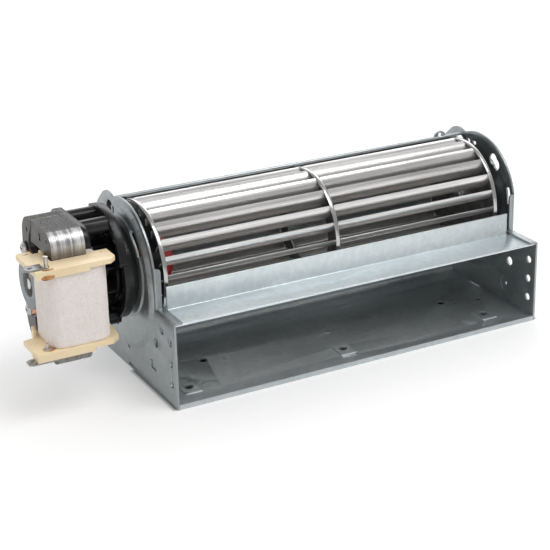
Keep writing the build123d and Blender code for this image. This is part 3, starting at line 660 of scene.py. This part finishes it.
def rounded(corners, steps=10):
    """The loop of a polygon whose corners have their own radii."""
    loop = []
    count = len(corners)
    for i, (y, z, radius) in enumerate(corners):
        here = Vector((y, z))
        if not radius:
            loop.append(here)
            continue
        before = (Vector(corners[i - 1][:2]) - here).normalized()
        after = (Vector(corners[(i + 1) % count][:2]) - here).normalized()
        half = before.angle(after) / 2
        centre = here + (before + after).normalized() * (radius / math.sin(half))
        start = here + before * (radius / math.tan(half)) - centre
        stop = here + after * (radius / math.tan(half)) - centre
        turn = math.atan2(start.x * stop.y - start.y * stop.x, start.dot(stop))
        for step in range(steps + 1):
            a = turn * step / steps
            loop.append(centre + Vector((start.x * math.cos(a) - start.y * math.sin(a),
                                         start.x * math.sin(a) + start.y * math.cos(a))))
    return loop


def box_loop(y, z, width, height):
    """The four corners of a rectangle about a middle."""
    return [Vector((y + i * width / 2, z + j * height / 2)) for i, j in ((-1, -1), (1, -1), (1, 1), (-1, 1))]


def round_loop(y, z, radius, steps):
    """The corners of a circle about a middle."""
    turns = [2 * math.pi * i / steps for i in range(steps)]
    return [Vector((y + radius * math.cos(turn), z + radius * math.sin(turn))) for turn in turns]


def flat_sheet(name, outer, holes):
    """A flat sheet at x = 0 with holes, its face towards the left."""
    shape = bmesh.new()
    for loop in [outer] + holes:
        corners = [shape.verts.new((0, p.x * mm, p.y * mm)) for p in loop]
        for a, b in zip(corners, corners[1:] + corners[:1]):
            shape.edges.new((a, b))
    bmesh.ops.triangle_fill(shape, use_beauty=True, edges=shape.edges[:], normal=(-1, 0, 0))
    bmesh.ops.dissolve_limit(shape, angle_limit=0.01, verts=shape.verts, edges=shape.edges)
    bmesh.ops.recalc_face_normals(shape, faces=shape.faces[:])
    for face in shape.faces:
        if face.normal.x > 0:
            face.normal_flip()
    mesh = bpy.data.meshes.new(name)
    shape.to_mesh(mesh)
    shape.free()
    return mesh


def pack_tree():
    """A flat sheet given its thickness and stacked along the shaft, each sheet a little off."""
    inputs = [("Sheets", "count"), ("Pitch", "value"), ("Thickness", "value"), ("Looseness", "value"),
              ("Place", "vector"), ("Finish", "material")]
    tree, entry, leave = new_geometry_tree("lamination_pack", inputs)
    give = entry.outputs
    one = thicken(tree, give["Geometry"], give["Thickness"])
    line = tree.nodes.new("GeometryNodeMeshLine")
    tree.links.new(give["Sheets"], line.inputs["Count"])
    step = tree.nodes.new("ShaderNodeCombineXYZ")
    tree.links.new(give["Pitch"], step.inputs["X"])
    tree.links.new(step.outputs[0], line.inputs["Offset"])
    loose = tree.nodes.new("FunctionNodeRandomValue")
    loose.data_type = "FLOAT_VECTOR"
    loose.inputs["Seed"].default_value = 11
    loose.inputs[0].default_value = (0, -1, -1)
    loose.inputs[1].default_value = (0, 1, 1)
    scaled = tree.nodes.new("ShaderNodeVectorMath")
    scaled.operation = "SCALE"
    tree.links.new(loose.outputs[0], scaled.inputs[0])
    tree.links.new(give["Looseness"], scaled.inputs["Scale"])
    shaken = tree.nodes.new("GeometryNodeSetPosition")
    tree.links.new(line.outputs[0], shaken.inputs["Geometry"])
    tree.links.new(scaled.outputs[0], shaken.inputs["Offset"])
    copies = tree.nodes.new("GeometryNodeInstanceOnPoints")
    tree.links.new(shaken.outputs[0], copies.inputs["Points"])
    tree.links.new(one, copies.inputs["Instance"])
    moved = tree.nodes.new("GeometryNodeTransform")
    tree.links.new(copies.outputs[0], moved.inputs["Geometry"])
    tree.links.new(give["Place"], moved.inputs["Translation"])
    end_tree(tree, entry, leave, moved.outputs[0])
    return tree


def lamination_steel():
    """Each sheet's cut edge has its own tone, darker and browner towards the bottom. The top faces are
    painted dark as shade, and the end faces are coated.
    """
    material, tree, shader, here = base_finish("lamination_steel", 0.9)
    parts = tree.nodes.new("ShaderNodeSeparateXYZ")
    tree.links.new(here, parts.inputs[0])
    layer = sums(tree, "FLOOR", sums(tree, "DIVIDE", parts.outputs["X"], pack_length / sheet_count * mm))
    odd = tree.nodes.new("ShaderNodeTexWhiteNoise")
    odd.noise_dimensions = "1D"
    tree.links.new(layer, odd.inputs["W"])
    cloud = effect(tree, smudge_group, Vector=here, Scale=120.0, Low=0.35, High=0.65)
    fine = noise(tree, 1500.0, detail=2, rough=0.5, vector=here)
    steel = blend_colours(tree, odd.outputs["Value"], steel_dark, steel_bright)
    # Darker and browner towards the bottom, fading out between these heights above the shaft.
    start, end = (shaft_height + height * mm for height in brown_fade_heights)
    low = spread(tree, parts.outputs["Z"], start, end, 0.75, 0.0)
    steel = blend_colours(tree, low, steel, lower_brown_tone)
    steel = blend_colours(tree, spread(tree, cloud, 0, 1, 0, 0.3), steel, brown_stain)
    # The up-facing faces are painted near black as shade.
    facing = tree.nodes.new("ShaderNodeSeparateXYZ")
    tree.links.new(tree.nodes.new("ShaderNodeNewGeometry").outputs["True Normal"], facing.inputs[0])
    painted_top_shade = spread(tree, facing.outputs["Z"], 0.93, 0.99, 0, 1)
    painted_top_tone = blend_colours(tree, odd.outputs["Value"], painted_top_dark, painted_top_pale)
    steel = blend_colours(tree, painted_top_shade, steel, painted_top_tone)
    coated = spread(tree, sums(tree, "ABSOLUTE", facing.outputs["X"]), 0.80, 0.97, 0, 1)
    skin = blend_colours(tree, cloud, coat_dark, coat_pale)
    steel = blend_colours(tree, coated, steel, skin)
    tree.links.new(steel, shader.inputs["Base Color"])
    tree.links.new(spread(tree, odd.outputs["Value"], 0, 1, 0.32, 0.50), shader.inputs["Roughness"])
    tree.links.new(bump(tree, fine, strength=0.05, distance=0.0001), shader.inputs["Normal"])
    return material


steel_pack = lamination_steel()
stack_tree = pack_tree()
screw_holes = [round_loop(y, z, screw_radius, 20) for y, z in screw_places]
slots = [box_loop(y, z, leg_width, leg_width) for y, z in pole_legs]
bore = [round_loop(0, 0, bore_radius, 48)]
packs = {"stator_front": (front_outline, [], front_marks),
         "stator_rear": (rear_outline, screw_holes + slots + bore, rear_marks)}
sheet_pitch = pack_length / sheet_count
for node, (outline, holes, marks) in packs.items():
    stamped_holes = holes + [box_loop(*mark) for mark in marks]
    layers = []
    for first, count, openings in ((0, marked_sheets, stamped_holes),
                                   (marked_sheets, sheet_count - marked_sheets, holes)):
        values = {"Sheets": count, "Pitch": sheet_pitch * mm, "Thickness": (sheet_pitch - sheet_gap) * mm,
                  "Looseness": sheet_looseness * mm, "Finish": steel_pack,
                  "Place": spot(pack_left + (first + 1) * sheet_pitch - sheet_gap, 0, 0)}
        sheet = flat_sheet("sheet", rounded(outline), openings)
        layers.append(grown(node + "_sheets", sheet, stack_tree, values))
    pack = add_piece(node + "_pack", join_meshes(node + "_pack", layers), steel_pack)
    ease(pack, sheet_gap, 1)
    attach(pack, frame["nodes"][node]["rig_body"])
    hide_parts(node)
dressed("rotor_core", 0.1, steel_pack)


# The beads of pale lacquer that seal the joint between the two packs. They stand in one row along
# its top, and no two are alike.
lacquer = moulded("joint_lacquer", (0.50, 0.42, 0.30), (0.66, 0.58, 0.44), 0.3, 0.4, 0.1)
bead_count = 19
bead_inset = 0.5
bead_place = (-4.55, 31.92)
bead_stray = 0.06
bead_half_length = (0.24, 0.46)
bead_half_width = (0.14, 0.24)
bead_rise = 0.08
beads = bmesh.new()
picker = random.Random(5)
for index in range(bead_count):
    x = pack_left + bead_inset + (pack_length - 2 * bead_inset) * index / (bead_count - 1)
    half_length = picker.uniform(*bead_half_length)
    half_width = picker.uniform(*bead_half_width)
    place = spot(x, bead_place[0] + picker.uniform(-bead_stray, bead_stray), bead_place[1])
    size = Matrix.Diagonal((half_length * mm, half_width * mm, bead_rise * mm, 1))
    bmesh.ops.create_icosphere(beads, subdivisions=2, radius=1.0, matrix=Matrix.Translation(place) @ size)
bead_mesh = bpy.data.meshes.new("joint_beads")
beads.to_mesh(bead_mesh)
beads.free()
joint_beads = add_piece("joint_beads", bead_mesh, lacquer)
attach(joint_beads, frame["nodes"]["stator_front"]["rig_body"])


# The two loops of bare copper bar through the pole tips. They hold back part of the field, which
# starts the motor turning one way.
copper = plain_metal("bare_copper", (0.42, 0.17, 0.08), (0.60, 0.28, 0.15), 0.35)
dressed("shading_rings", 0.15, copper)


# The die-cast bridge that holds the outer bearing, with its two steel screws. The heads are smooth
# and dulled.
die_cast = plain_metal("die_cast", (0.20, 0.22, 0.235), (0.29, 0.31, 0.325), 0.5, 0.25, 0.6)
dull_steel = plain_metal("dulled_steel", (0.40, 0.39, 0.37), (0.55, 0.54, 0.52), 0.38, 0.1)
dressed("bearing_bracket", 0.3, die_cast)
dressed("motor_screws", 0.3, dull_steel)


# The coil former, moulded from beige glass-filled nylon. Drops of brown winding resin hold the pins
# and fill a small gate mark. A drop is its x, y, z and its three half sizes.
beige = moulded("beige_moulding", (0.86, 0.68, 0.42), (0.92, 0.76, 0.51), 0.34, 0.46, 0.08)
dressed("bobbin", 0.35, beige)
resin_dark = (0.16, 0.045, 0.008)
resin_pale = (0.62, 0.27, 0.05)
drop_unevenness = 0.16
drop_fineness = 700
resin_drops = [(-152.9, -39.1, 17.3, 3.3, 0.7, 1.2), (-153.2, -34.6, -17.9, 2.9, 2.6, 0.55),
               (-152.2, -38.0, 20.35, 2.6, 1.0, 0.25), (-154.3, -15.4, 20.3, 1.5, 0.5, 0.16),
               (-124.0, -29.6, 20.3, 0.7, 0.4, 0.12)]


def winding_resin():
    """Brown resin in uneven tones, under a glossy skin."""
    material, tree, shader, here = base_finish("winding_resin", 0.0, coat=0.6, coat_roughness=0.08)
    cloud = effect(tree, smudge_group, Vector=here, Scale=500.0, Low=0.35, High=0.65)
    tree.links.new(blend_colours(tree, cloud, resin_dark, resin_pale), shader.inputs["Base Color"])
    tree.links.new(spread(tree, cloud, 0, 1, 0.18, 0.35), shader.inputs["Roughness"])
    tree.links.new(bump(tree, cloud, strength=0.3, distance=0.0003), shader.inputs["Normal"])
    return material


drops = bmesh.new()
for index, (x, y, z, wide, deep, high) in enumerate(resin_drops):
    place = spot(x, y, z)
    size = Matrix.Diagonal((wide * mm, deep * mm, high * mm, 1))
    made = bmesh.ops.create_icosphere(drops, subdivisions=3, radius=1.0,
                                      matrix=Matrix.Translation(place) @ size)
    for vert in made["verts"]:
        swell = rough_noise.noise(vert.co * drop_fineness + Vector((index, 0, 0)))
        vert.co += (vert.co - place) * drop_unevenness * swell
drop_mesh = bpy.data.meshes.new("resin_drops")
drops.to_mesh(drop_mesh)
drops.free()
resin = add_piece("resin_drops", drop_mesh, winding_resin())
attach(resin, frame["nodes"]["bobbin"]["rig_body"])


# The winding under its white fleece tape, wrapped by hand round the former. The tape is fuzzy,
# and it creases where it turns round the former's edges.
coil_ends = (-152.7, -38.6, -123.5, -13.1)
coil_hollow = (-148.2, -30.0, -129.2, -17.0)
coil_half = 18.0
coil_levels = 72
coil_corner = 6.8
coil_crisp_angle = 60
tape_depth = 0.75
tape_step = 0.45
tuck_height = 1.4
tuck_depth = 0.5
edge_reach = 5.0
swell_fineness = (60, 60, 140)
fold_fineness = (260, 260, 45)
fold_start = Vector((3, 1, 7))
fold_width = 0.35
fleece_warm = (0.92, 0.84, 0.80)
fleece_white = (0.95, 0.90, 0.87)
fleece_dots = (0.68, 0.55, 0.49)


def fleece():
    """White felted fibres with a warm tint and small darker dots between them."""
    material, tree, shader, here = base_finish("fleece_tape", 0.0, 0.92)
    fibre = noise(tree, 1500.0, detail=4, rough=0.75, vector=here)
    dots = noise(tree, 2400.0, detail=3, rough=0.7, vector=here)
    cloud = effect(tree, smudge_group, Vector=here, Scale=90.0, Low=0.3, High=0.7)
    colour = blend_colours(tree, cloud, fleece_warm, fleece_white)
    colour = blend_colours(tree, spread(tree, dots, 0.50, 0.68, 0, 0.7), colour, fleece_dots)
    tree.links.new(colour, shader.inputs["Base Color"])
    shader.inputs["Sheen Weight"].default_value = 0.25
    tree.links.new(bump(tree, fibre, strength=0.9, distance=0.0005), shader.inputs["Normal"])
    return material


def finer(point, fineness):
    """A point scaled by a factor for each axis, for noise of that fineness."""
    return Vector([place * factor for place, factor in zip(point, fineness)])


def wrinkle(point, edge_share):
    """How far the tape lies below its fullest surface at a point: a soft swell, and folds near an edge."""
    soft = rough_noise.noise(finer(point, swell_fineness)) * 0.5 + 0.5
    fold = abs(rough_noise.noise(finer(point, fold_fineness) + fold_start))
    return 0.45 * soft + (0.30 + 0.45 * edge_share) * max(0.0, fold_width - fold) / fold_width


def wrapped_coil():
    """A closed tube: the wrinkled outside, two flat ends and the square hollow for the limb."""
    x0, y0, x1, y1 = coil_ends
    outline = rounded([(x0, y0, coil_corner), (x1, y0, coil_corner), (x1, y1, coil_corner),
                       (x0, y1, coil_corner)], 14)
    ring = []
    for a, b in zip(outline, outline[1:] + outline[:1]):
        pieces = max(1, round((b - a).length / tape_step))
        ring += [a.lerp(b, i / pieces) for i in range(pieces)]
    count = len(ring)
    centre = Vector(((x0 + x1) / 2, (y0 + y1) / 2))
    shape = bmesh.new()
    rows = []
    for level in range(coil_levels + 1):
        height = -coil_half + 2 * coil_half * level / coil_levels
        tuck = max(0.0, abs(height) - coil_half + tuck_height) / tuck_height
        row = []
        for i, flat in enumerate(ring):
            tangent = (ring[(i + 1) % count] - ring[i - 1]).normalized()
            inward = Vector((-tangent.y, tangent.x))
            if inward.dot(centre - flat) < 0:
                inward = -inward
            near = min(flat.x - x0, x1 - flat.x)
            edge_share = max(0.0, 1 - near / edge_reach)
            place = spot(flat.x, flat.y, height)
            depth = tape_depth * wrinkle(place, edge_share) + tuck_depth * tuck * tuck
            moved = flat + inward * depth
            row.append(shape.verts.new(spot(moved.x, moved.y, height)))
        rows.append(row)
    for low_row, high_row in zip(rows, rows[1:]):
        for i in range(count):
            j = (i + 1) % count
            shape.faces.new((low_row[i], low_row[j], high_row[j], high_row[i]))
    hx0, hy0, hx1, hy1 = coil_hollow
    corners = ((hx0, hy0), (hx1, hy0), (hx1, hy1), (hx0, hy1))
    hollow = []
    for height in (-coil_half, coil_half):
        hollow.append([shape.verts.new(spot(x, y, height)) for x, y in corners])
    for i in range(4):
        j = (i + 1) % 4
        shape.faces.new((hollow[0][i], hollow[1][i], hollow[1][j], hollow[0][j]))
    for row, square in ((rows[0], hollow[0]), (rows[-1], hollow[1])):
        edges = []
        for loop in (row, square):
            for a, b in zip(loop, loop[1:] + loop[:1]):
                edges.append(shape.edges.get((a, b)) or shape.edges.new((a, b)))
        bmesh.ops.triangle_fill(shape, use_beauty=True, edges=edges)
    bmesh.ops.recalc_face_normals(shape, faces=shape.faces[:])
    mesh = bpy.data.meshes.new("taped_coil")
    shape.to_mesh(mesh)
    shape.free()
    return mesh


coil = add_piece("taped_coil", wrapped_coil(), fleece())
coil.data.set_sharp_from_angle(angle=math.radians(coil_crisp_angle))
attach(coil, frame["nodes"]["coil"]["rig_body"])
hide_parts("coil")


# The two flat push-on terminals, stamped from sheet, and the tinned wire posts that stand beside
# them on the former.
tinned = plain_metal("tinned_steel", (0.42, 0.40, 0.36), (0.62, 0.60, 0.55), 0.26)
stamped = plain_metal("stamped_terminal", (0.22, 0.22, 0.22), (0.36, 0.36, 0.35), 0.34)
dressed("winding_pins", 0.12, tinned)
dressed("terminal_upper", 0.1, stamped)
dressed("terminal_lower", 0.1, stamped)


# The camera. It stands where the fit to the photograph's edges puts it, in front of the outlet, a
# little to its left and above. Its focal length is in the picture's own pixels.
picture_width = 550
picture_focal_length = 1534.22
sensor_width = 36.0
aim_height = 1.0
camera_azimuth = math.radians(-27.83)
camera_elevation = math.radians(21.80)
camera_roll = math.radians(-1.32)
camera_distance = 783.39
camera_side = -19.31
camera_rise = 25.35
back = Vector((math.sin(camera_azimuth) * math.cos(camera_elevation),
               -math.cos(camera_azimuth) * math.cos(camera_elevation), math.sin(camera_elevation)))
right = Vector((math.cos(camera_azimuth), math.sin(camera_azimuth), 0))
up = back.cross(right)
aim = Vector((middle.x, middle.y, aim_height * mm))
eye = aim + (back * camera_distance + right * camera_side + up * camera_rise) * mm
image_right = right * math.cos(camera_roll) + up * math.sin(camera_roll)
image_up = up * math.cos(camera_roll) - right * math.sin(camera_roll)
camera_data = bpy.data.cameras.new("camera")
camera_data.sensor_width = sensor_width
camera_data.lens = picture_focal_length / picture_width * sensor_width
camera_data.clip_start = 0.01
camera_data.clip_end = 50
camera = bpy.data.objects.new("camera", camera_data)
bpy.context.scene.collection.objects.link(camera)
camera.matrix_world = Matrix.Translation(eye) @ Matrix((image_right, image_up, back)).transposed().to_4x4()
bpy.context.scene.camera = camera


# The studio's pale floor, a hair below the part. It is painted dark as shadow where the outlet's floor sheet
# covers it, so that the sheet's holes look dark.
floor_size = 14
floor_drop = 0.1
floor_colour = (0.80, 0.80, 0.80)
painted_shadow_colour = (0.04, 0.04, 0.04)
painted_shadow_blend = 3
floor_glow = 0.28


def floor_paint():
    """White paint with a painted shadow under the part, that also glows a little to the camera, to mirrors
    and through glass.
    """
    material = bpy.data.materials.new("floor_paint")
    material.use_nodes = True
    tree = material.node_tree
    tree.nodes.clear()
    paint = tree.nodes.new("ShaderNodeBsdfDiffuse")
    glow = tree.nodes.new("ShaderNodeEmission")
    seen = tree.nodes.new("ShaderNodeLightPath")
    rays = sums(tree, "MAXIMUM", seen.outputs["Is Camera Ray"], seen.outputs["Is Glossy Ray"])
    rays = sums(tree, "MAXIMUM", rays, seen.outputs["Is Transmission Ray"])
    here = tree.nodes.new("ShaderNodeTexCoord").outputs["Object"]
    away = tree.nodes.new("ShaderNodeSeparateXYZ")
    tree.links.new(here, away.inputs[0])
    beyond = []
    for axis, low, high in (("X", plate_low.x, right_high.x), ("Y", plate_low.y, middle.y)):
        off = sums(tree, "ABSOLUTE", sums(tree, "SUBTRACT", away.outputs[axis], (low + high) / 2))
        beyond.append(spread(tree, off, (high - low) / 2 - painted_shadow_blend * mm, (high - low) / 2, 0, 1))
    open_floor = sums(tree, "MAXIMUM", *beyond)
    rays = sums(tree, "MULTIPLY", rays, open_floor)
    tree.links.new(blend_colours(tree, open_floor, painted_shadow_colour, floor_colour), paint.inputs["Color"])
    tree.links.new(sums(tree, "MULTIPLY", rays, floor_glow), glow.inputs["Strength"])
    both = tree.nodes.new("ShaderNodeAddShader")
    out = tree.nodes.new("ShaderNodeOutputMaterial")
    tree.links.new(paint.outputs[0], both.inputs[0])
    tree.links.new(glow.outputs[0], both.inputs[1])
    tree.links.new(both.outputs[0], out.inputs["Surface"])
    return material


bpy.ops.mesh.primitive_plane_add(size=floor_size, location=(0, 0, -floor_drop * mm))
ground_plane = bpy.context.object
ground_plane.name = "floor"
ground_plane.data.materials.append(floor_paint())
ground_plane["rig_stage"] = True


# The studio's room: a white wall behind the part and to its right, a grey ceiling, and a darker
# room behind the camera. Heights and directions are shares of a unit vector.
wall_level = 1.25
wall_foot = 0.75
wall_top = 0.45
wall_turn = 0.35
wall_start = -0.25
wall_full = 0.45
ceiling_level = 0.50
ceiling_start = 0.50
ceiling_full = 0.85
room_level = 0.46
world = bpy.data.worlds.new("studio")
world.use_nodes = True
bpy.context.scene.world = world
sky = world.node_tree
way = sky.nodes.new("ShaderNodeTexCoord").outputs["Generated"]
ways = sky.nodes.new("ShaderNodeSeparateXYZ")
sky.links.new(way, ways.inputs[0])
leaning = sums(sky, "ADD", ways.outputs["Y"], sums(sky, "MULTIPLY", ways.outputs["X"], wall_turn))
rising = spread(sky, ways.outputs["Z"], 0.0, wall_top, wall_foot, wall_level)
behind = spread(sky, leaning, wall_start, wall_full, room_level, rising)
overhead = spread(sky, ways.outputs["Z"], ceiling_start, ceiling_full, 0, 1)
level = sums(sky, "ADD", sums(sky, "MULTIPLY", behind, sums(sky, "SUBTRACT", 1.0, overhead)),
             sums(sky, "MULTIPLY", overhead, ceiling_level))
sky.nodes["Background"].inputs["Color"].default_value = (1, 1, 1, 1)
sky.links.new(level, sky.nodes["Background"].inputs["Strength"])


# The three soft lamps: one behind on the right for the scroll's top, the main one above the front,
# and a weak one on the left for the motor. Their places and sizes are in metres.
part_place = (0, 0, 0.05)
motor_place = (-0.12, 0, 0.05)


def softbox(name, place, aim_at, width, height, watts):
    """A rectangular lamp that faces a point."""
    data = bpy.data.lights.new(name, "AREA")
    data.shape = "RECTANGLE"
    data.size = width
    data.size_y = height
    data.energy = watts
    lamp = bpy.data.objects.new(name, data)
    lamp.location = place
    lamp.rotation_mode = "QUATERNION"
    lamp.rotation_quaternion = (Vector(aim_at) - Vector(place)).to_track_quat("-Z", "Y")
    bpy.context.scene.collection.objects.link(lamp)


softbox("back_softbox", (0.55, 0.85, 0.75), part_place, width=0.9, height=0.6, watts=2.5)
softbox("front_softbox", (0.3, -0.6, 1.15), part_place, width=0.8, height=0.6, watts=7)
softbox("left_softbox", (-0.9, -0.7, 0.45), motor_place, width=0.5, height=0.5, watts=1.2)

bpy.context.scene.view_settings.view_transform = "Standard"
low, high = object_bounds()
